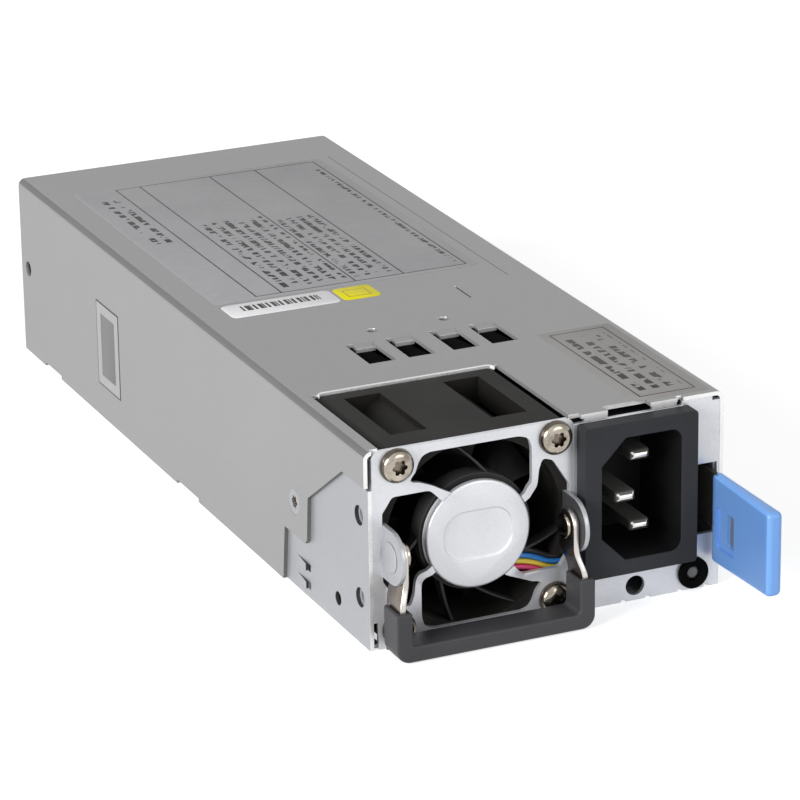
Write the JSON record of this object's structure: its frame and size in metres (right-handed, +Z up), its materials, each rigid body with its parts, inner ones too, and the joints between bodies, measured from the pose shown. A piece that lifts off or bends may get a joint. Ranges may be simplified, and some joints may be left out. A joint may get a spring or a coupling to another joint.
{
  "type": "hot swap server power supply",
  "caption": "Slim steel-cased hot swap power supply module with a guarded fan, a swinging bail handle, a mains inlet, a sprung release latch and a rear card edge.",
  "frame": {"origin": "centre of the case's bottom face", "axes": "+Z up, +Y to the rear card edge, -Y to the fan and inlet, +X to the latch side"},
  "size_m": [0.0753, 0.2191, 0.039],
  "materials": {
    "galvanised_steel": "satin",
    "plate_steel": "satin",
    "cover_steel": "satin",
    "nickel_screw": "polished",
    "black_nylon": "matte",
    "fan_plastic": "satin",
    "bearing_brass": "satin",
    "ground_steel": "polished",
    "lead_insulation": "gloss",
    "white_nylon": "satin",
    "inlet_plastic": "matte",
    "nickel_pin": "polished",
    "spring_steel": "satin",
    "blue_plastic": "satin",
    "grip_rubber": "matte",
    "lamp_clear": "gloss",
    "board_green": "satin",
    "gold_plate": "polished",
    "clear_film": "satin",
    "can_sleeve": "gloss",
    "ferrite": "matte",
    "copper_wire": "satin",
    "winding_tape": "satin",
    "yellow_box": "gloss",
    "blue_disc": "gloss",
    "sink_aluminium": "satin"
  },
  "bodies": {
    "case": {"chassis": "galvanised_steel", "front_plate": "plate_steel", "fan_guard": "plate_steel", "guard_hub": "plate_steel", "handle_ears": "plate_steel", "top_cover": "cover_steel", "cover_screw": "nickel_screw", "slot_clips": "black_nylon", "fan_frame": "fan_plastic", "fan_motor_base": "fan_plastic", "fan_bearing": "bearing_brass", "fan_screws": "nickel_screw", "fan_leads": "lead_insulation", "fan_lead_plug": "white_nylon", "fan_lead_socket": "white_nylon", "inlet_housing": "inlet_plastic", "inlet_pins": "nickel_pin", "latch_foot": "spring_steel", "latch_rivets": "nickel_screw", "handle_rivets": "nickel_screw", "lamp_holder": "black_nylon", "lamp_lens": "lamp_clear", "main_board": "board_green", "card_fingers": "gold_plate", "board_standoffs": "galvanised_steel", "board_screws": "nickel_screw", "insulating_film": "clear_film", "bulk_capacitors": "can_sleeve", "output_capacitors": "can_sleeve", "pfc_choke_core": "ferrite", "pfc_choke_winding": "copper_wire", "transformer_core": "ferrite", "transformer_winding": "winding_tape", "line_choke": "ferrite", "film_capacitors": "yellow_box", "disc_capacitors": "blue_disc", "inrush_relay": "black_nylon", "line_fuse": "white_nylon", "primary_heat_sink": "sink_aluminium", "secondary_heat_sink": "sink_aluminium", "primary_transistor": "black_nylon", "rectifiers": "black_nylon", "control_board": "board_green", "output_bus": "copper_wire"},
    "fan": {"fan_rotor": "fan_plastic", "fan_blades": "fan_plastic", "fan_shaft": "ground_steel"},
    "latch": {"latch_leaf": "spring_steel", "latch_cap": "blue_plastic"},
    "handle": {"handle_bail": "spring_steel", "handle_grip": "grip_rubber"}
  },
  "joints": [
    {"name": "fan_spin", "type": "hinge", "parent": "case", "child": "fan", "pos_m": [-0.0143, -0.0725, 0.0196], "axis": [0, 1, 0], "continuous": true},
    {"name": "latch_flex", "type": "hinge", "parent": "case", "child": "latch", "pos_m": [0.03445, -0.0444, 0.0179], "axis": [0, 0, -1], "range_deg": [0, 3.3], "stiffness_Nm_per_rad": 8, "springref_deg": -1.72},
    {"name": "handle_swing", "type": "hinge", "parent": "case", "child": "handle", "pos_m": [-0.0143, -0.0959, 0.0193], "axis": [-1, 0, 0], "range_deg": [0, 150]}
  ]
}
